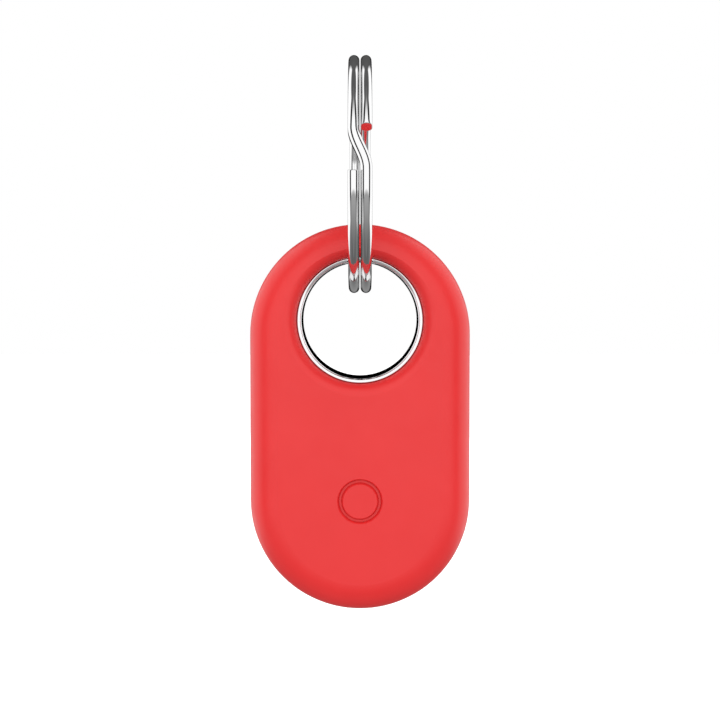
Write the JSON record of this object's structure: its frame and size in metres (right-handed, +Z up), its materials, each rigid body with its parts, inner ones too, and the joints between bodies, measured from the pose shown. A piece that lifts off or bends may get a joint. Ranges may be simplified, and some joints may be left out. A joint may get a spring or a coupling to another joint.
{
  "type": "bluetooth tracker tag",
  "caption": "Pill-shaped red tracker tag with a chromed eyelet, a press button, a coin-cell door and a steel split ring through the eyelet.",
  "frame": {"origin": "the highest point of the split ring's inside, where a hook or finger holds it", "axes": "+Z up along the hanging tag, +Y from the button face to the battery door face, +X right seen from the front"},
  "size_m": [0.03, 0.032, 0.0754],
  "materials": {
    "ring_steel": "polished nickel plate on spring steel",
    "eyelet_chrome": "mirror-bright chrome plate",
    "shell_red": "moulded, fine satin texture",
    "button_red": "soft moulded elastomer, same red as the shells",
    "seal_rubber": "dull black",
    "black_plastic": "moulded, dull",
    "stamped_steel": "stamped, tinned",
    "gold_plate": "gold plated",
    "board_green": "solder mask, glossy",
    "chip_epoxy": "moulded epoxy",
    "capacitor_ceramic": "fired ceramic with tinned ends",
    "resistor_black": "glazed with tinned ends",
    "ferrite_grey": "sintered",
    "bare_copper": "copper foil under clear mask",
    "piezo_brass": "rolled sheet",
    "piezo_ceramic": "fired ceramic, silvered",
    "adhesive_clear": "translucent film",
    "film_amber": "thin amber film",
    "frame_white": "moulded, dull",
    "spring_bronze": "stamped spring bronze, plated",
    "cell_steel": "nickel-plated steel, finely brushed",
    "cell_filling": "pressed powder and foil"
  },
  "bodies": {
    "ring": {"split_ring": "ring_steel"},
    "tag": {"front_shell": "shell_red", "rear_shell": "shell_red", "shell_gasket": "seal_rubber", "eyelet": "eyelet_chrome", "switch_base": "black_plastic", "switch_cover": "stamped_steel", "switch_dome": "gold_plate", "main_board": "board_green", "radio_chip": "chip_epoxy", "motion_sensor": "chip_epoxy", "fast_crystal": "stamped_steel", "slow_crystal": "stamped_steel", "capacitors": "capacitor_ceramic", "resistors": "resistor_black", "inductors": "ferrite_grey", "antenna_trace": "bare_copper", "test_pads": "gold_plate", "piezo_plate": "piezo_brass", "piezo_ceramic": "piezo_ceramic", "piezo_adhesive": "adhesive_clear", "piezo_contacts": "gold_plate", "insulator_film": "film_amber", "battery_frame": "frame_white", "positive_contact": "spring_bronze", "negative_contact": "spring_bronze", "cell_can": "cell_steel", "cell_cap": "cell_steel", "cell_seal": "black_plastic", "cell_core": "cell_filling"},
    "button": {"button_pad": "button_red", "switch_plunger": "black_plastic"},
    "door": {"battery_door": "shell_red", "door_seal": "seal_rubber"}
  },
  "joints": [
    {"name": "tag_swing", "type": "hinge", "parent": "ring", "child": "tag", "pos_m": [0, 0, -0.0136], "axis": [1, 0, 0], "continuous": true},
    {"name": "button_press", "type": "slide", "parent": "tag", "child": "button", "axis": [0, 1, 0], "range_m": [0, 0.00025], "stiffness_N_per_m": 6000},
    {"name": "door_turn", "type": "hinge", "parent": "tag", "child": "door", "pos_m": [0, 0.0041, -0.05799], "axis": [0, 1, 0], "range_deg": [0, 45]}
  ]
}
